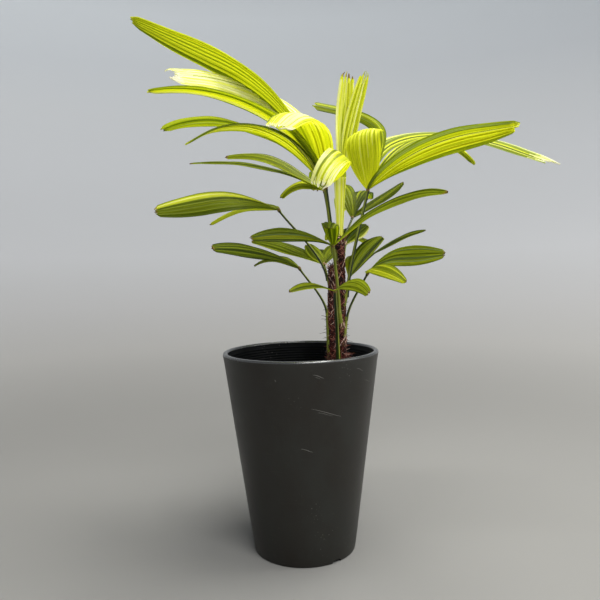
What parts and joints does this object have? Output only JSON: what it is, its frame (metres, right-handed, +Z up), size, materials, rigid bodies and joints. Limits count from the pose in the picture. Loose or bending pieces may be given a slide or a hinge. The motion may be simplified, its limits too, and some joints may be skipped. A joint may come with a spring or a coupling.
{
  "type": "potted lady palm",
  "caption": "Small variegated fan palm in a tall tapered plastic pot: fibrous canes, arching striped fronds on slim stalks and an upright folded spear leaf; a standing indoor plant.",
  "frame": {"origin": "middle of the pot's flat underside, on the surface the pot stands on", "axes": "+Z up through the pot; the plant's broad side faces -Y; +X towards the long right-hand frond"},
  "size_m": [0.3541, 0.233, 0.416],
  "materials": {
    "pot_plastic": "matt black-brown moulded plastic with light scuffs and a worn, faintly shiny lip",
    "potting_soil": "dark crumbly bark and grit potting mix",
    "cane_fibre": "woven maroon-brown leaf-sheath fibre with loose hairs",
    "old_leaf": "satin mid-green blades with lighter lengthwise stripes and browned toothed tips",
    "young_leaf": "satin lime and yellow striped blades, cream where the light falls on them",
    "spear_blade": "satin folded blades, cream-yellow with fine lime stripes"
  },
  "bodies": {
    "root": {"pot": "pot_plastic", "soil": "potting_soil", "cane_tall": "cane_fibre", "cane_short": "cane_fibre", "frond_top_left": "young_leaf", "frond_upper_left": "old_leaf", "frond_middle_left": "old_leaf", "frond_low_left": "old_leaf", "frond_left_back": "old_leaf", "frond_front": "old_leaf", "frond_low_front": "old_leaf", "frond_low_right": "old_leaf", "frond_right_back": "old_leaf", "frond_inner_back": "old_leaf", "frond_top_right": "young_leaf", "frond_upper_back": "old_leaf", "spear_leaf": "spear_blade"}
  },
  "joints": []
}
